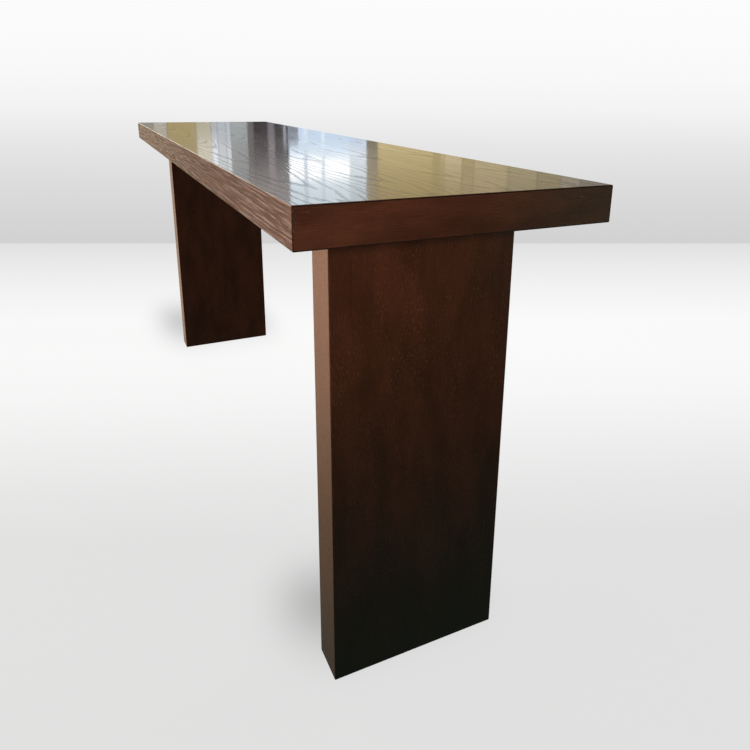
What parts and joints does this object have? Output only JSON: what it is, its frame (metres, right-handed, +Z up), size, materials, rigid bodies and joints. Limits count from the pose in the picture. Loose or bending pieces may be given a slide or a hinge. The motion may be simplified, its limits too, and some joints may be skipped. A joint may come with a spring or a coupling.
{
  "type": "communion table",
  "caption": "Long slab-leg hall table: thick hollow-core top in dark stained open-grain veneer on broad mitred box legs, pulled up to blocks in the top by hidden tie rods.",
  "frame": {"origin": "centre of the table's footprint, on the floor", "axes": "+X along the table's length towards the right end, +Y across its depth towards the back, +Z up; the front long side faces -Y"},
  "size_m": [2.44, 0.61, 1.067],
  "materials": {
    "veneer": "espresso-stained open-grain veneer, semi-gloss lacquer",
    "stained_underside": "stained sealed board, matte",
    "plywood": "bare birch plywood",
    "pine": "bare planed pine",
    "beech": "bare pressed beech",
    "zinc_steel": "bright zinc plate",
    "brass": "turned brass",
    "nylon": "dark moulded nylon"
  },
  "bodies": {
    "root": {"top_panel": "veneer", "front_apron": "veneer", "back_apron": "veneer", "left_end_apron": "veneer", "right_end_apron": "veneer", "underside_panel": "stained_underside", "front_core_rib": "plywood", "back_core_rib": "plywood", "cross_rib_1": "plywood", "cross_rib_2": "plywood", "cross_rib_3": "plywood", "cross_rib_4": "plywood", "cross_rib_5": "plywood", "front_left_biscuit": "beech", "front_right_biscuit": "beech", "back_left_biscuit": "beech", "back_right_biscuit": "beech", "left_leg_block": "plywood", "left_leg_outer_panel": "veneer", "left_leg_inner_panel": "veneer", "left_leg_front_edge": "veneer", "left_leg_back_edge": "veneer", "left_leg_top_rail": "pine", "left_leg_upper_mid_rail": "pine", "left_leg_lower_mid_rail": "pine", "left_leg_bottom_rail": "pine", "left_leg_front_tie_rod": "zinc_steel", "left_leg_front_washer": "zinc_steel", "left_leg_front_nut": "zinc_steel", "left_leg_front_insert": "brass", "left_leg_front_dowel": "beech", "left_leg_front_glide": "nylon", "left_leg_back_tie_rod": "zinc_steel", "left_leg_back_washer": "zinc_steel", "left_leg_back_nut": "zinc_steel", "left_leg_back_insert": "brass", "left_leg_back_dowel": "beech", "left_leg_back_glide": "nylon", "right_leg_block": "plywood", "right_leg_outer_panel": "veneer", "right_leg_inner_panel": "veneer", "right_leg_front_edge": "veneer", "right_leg_back_edge": "veneer", "right_leg_top_rail": "pine", "right_leg_upper_mid_rail": "pine", "right_leg_lower_mid_rail": "pine", "right_leg_bottom_rail": "pine", "right_leg_front_tie_rod": "zinc_steel", "right_leg_front_washer": "zinc_steel", "right_leg_front_nut": "zinc_steel", "right_leg_front_insert": "brass", "right_leg_front_dowel": "beech", "right_leg_front_glide": "nylon", "right_leg_back_tie_rod": "zinc_steel", "right_leg_back_washer": "zinc_steel", "right_leg_back_nut": "zinc_steel", "right_leg_back_insert": "brass", "right_leg_back_dowel": "beech", "right_leg_back_glide": "nylon"}
  },
  "joints": []
}
